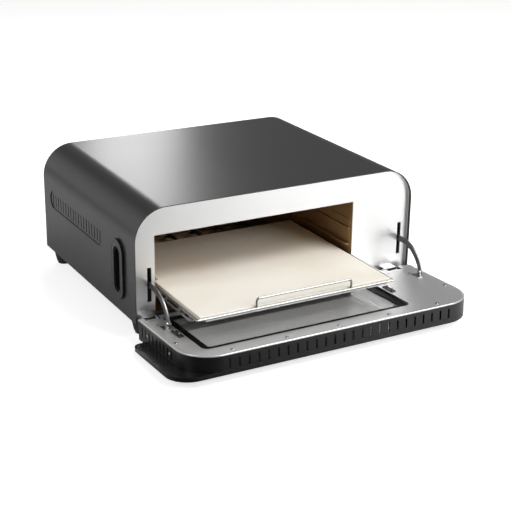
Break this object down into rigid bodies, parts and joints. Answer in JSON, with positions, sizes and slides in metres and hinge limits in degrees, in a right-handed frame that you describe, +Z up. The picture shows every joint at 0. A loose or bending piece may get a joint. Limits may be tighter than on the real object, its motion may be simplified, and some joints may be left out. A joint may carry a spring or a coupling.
{
  "type": "electric pizza maker",
  "caption": "Countertop electric pizza maker with a drop-down glass door and a baking stone that draws out on its carrier.",
  "frame": {"origin": "on the worktop, under the middle of the housing", "axes": "+X to the right seen from the front, +Y to the back, +Z up"},
  "size_m": [0.486, 0.5316, 0.1905],
  "materials": {
    "housing_paint": "satin dark grey paint",
    "front_steel": "fine horizontal brush",
    "door_steel": "fine horizontal brush",
    "zinc_steel": "bright plated",
    "chamber_coating": "golden heat-proof coating",
    "element_tube": "dull oxide",
    "black_plastic": "fine grain",
    "gloss_black": "gloss",
    "knob_plastic": "soft satin",
    "seal_rubber": "matt",
    "wool": "felted",
    "circuit_board": "solder mask",
    "porcelain": "unglazed",
    "clear_glass": "clear",
    "dark_glass": "smoke tint",
    "lens_red": "translucent",
    "white_stone": "fine matt"
  },
  "bodies": {
    "housing": {"base_pan": "housing_paint", "wrap_shell": "housing_paint", "rear_panel": "housing_paint", "front_panel": "front_steel", "cavity_liner": "chamber_coating", "shelf_rail_left": "zinc_steel", "shelf_rail_right": "zinc_steel", "upper_element": "element_tube", "lower_element": "element_tube", "element_brackets": "zinc_steel", "insulation_blanket": "wool", "bay_divider": "zinc_steel", "power_board": "circuit_board", "terminal_block": "porcelain", "thermal_cutout": "black_plastic", "temperature_probe": "zinc_steel", "fan_frame": "black_plastic", "mains_cord_gland": "black_plastic", "front_left_foot": "black_plastic", "front_right_foot": "black_plastic", "rear_left_foot": "black_plastic", "rear_right_foot": "black_plastic", "foot_pads": "seal_rubber", "grip_bezel_left": "black_plastic", "grip_bezel_right": "black_plastic", "grip_cup_left": "black_plastic", "grip_cup_right": "black_plastic", "hinge_bracket_left": "zinc_steel", "hinge_bracket_right": "zinc_steel", "hinge_pin_left": "zinc_steel", "hinge_pin_right": "zinc_steel", "arm_guide_left": "black_plastic", "arm_guide_right": "black_plastic", "rear_screws": "zinc_steel", "base_screws": "zinc_steel"},
    "door": {"door_frame": "housing_paint", "door_inner_plate": "door_steel", "door_fascia": "gloss_black", "window_gasket": "seal_rubber", "inner_glass": "clear_glass", "outer_glass": "dark_glass", "hinge_leaf_left": "zinc_steel", "hinge_leaf_right": "zinc_steel", "arm_lug_left": "zinc_steel", "arm_lug_right": "zinc_steel", "pull_hooks": "zinc_steel", "door_plate_screws": "zinc_steel", "door_side_screws": "zinc_steel", "temperature_switch": "black_plastic", "timer_switch": "black_plastic", "indicator_lens": "lens_red"},
    "arm_left": {"door_arm_left": "zinc_steel"},
    "arm_right": {"door_arm_right": "zinc_steel"},
    "carrier": {"stone_carrier": "zinc_steel", "carrier_handle": "zinc_steel", "baking_stone": "white_stone"},
    "temperature_dial": {"temperature_knob": "knob_plastic"},
    "timer_dial": {"timer_knob": "knob_plastic"},
    "fan": {"fan_rotor": "black_plastic"}
  },
  "joints": [
    {"name": "door_hinge", "type": "hinge", "parent": "housing", "child": "door", "pos_m": [0, -0.1884, 0.026], "axis": [-1, 0, 0], "range_deg": [0, 87.7]},
    {"name": "arm_pivot_left", "type": "hinge", "parent": "door", "child": "arm_left", "pos_m": [-0.2055, -0.23212, 0.04137], "axis": [1, 0, 0], "range_deg": [0, 44]},
    {"name": "arm_pivot_right", "type": "hinge", "parent": "door", "child": "arm_right", "pos_m": [0.215, -0.23212, 0.04137], "axis": [1, 0, 0], "range_deg": [0, 44]},
    {"name": "carrier_slide", "type": "slide", "parent": "housing", "child": "carrier", "axis": [0, 1, 0], "range_m": [0, 0.158]},
    {"name": "temperature_dial_turn", "type": "hinge", "parent": "door", "child": "temperature_dial", "pos_m": [0.183, -0.32313, 0.01059], "axis": [0, -0.0401, -0.9992], "range_deg": [0, 300]},
    {"name": "timer_dial_turn", "type": "hinge", "parent": "door", "child": "timer_dial", "pos_m": [0.183, -0.27716, 0.00875], "axis": [0, -0.0401, -0.9992], "range_deg": [0, 300]},
    {"name": "fan_spin", "type": "hinge", "parent": "housing", "child": "fan", "pos_m": [0.18, 0.1508, 0.116], "axis": [0, 1, 0], "continuous": true}
  ],
  "couplings": [
    {"joint": "carrier_slide", "follows": "door_hinge", "m_per_rad": 0.10321},
    {"joint": "arm_pivot_left", "follows": "door_hinge", "ratio": 0.5},
    {"joint": "arm_pivot_right", "follows": "door_hinge", "ratio": 0.5}
  ]
}
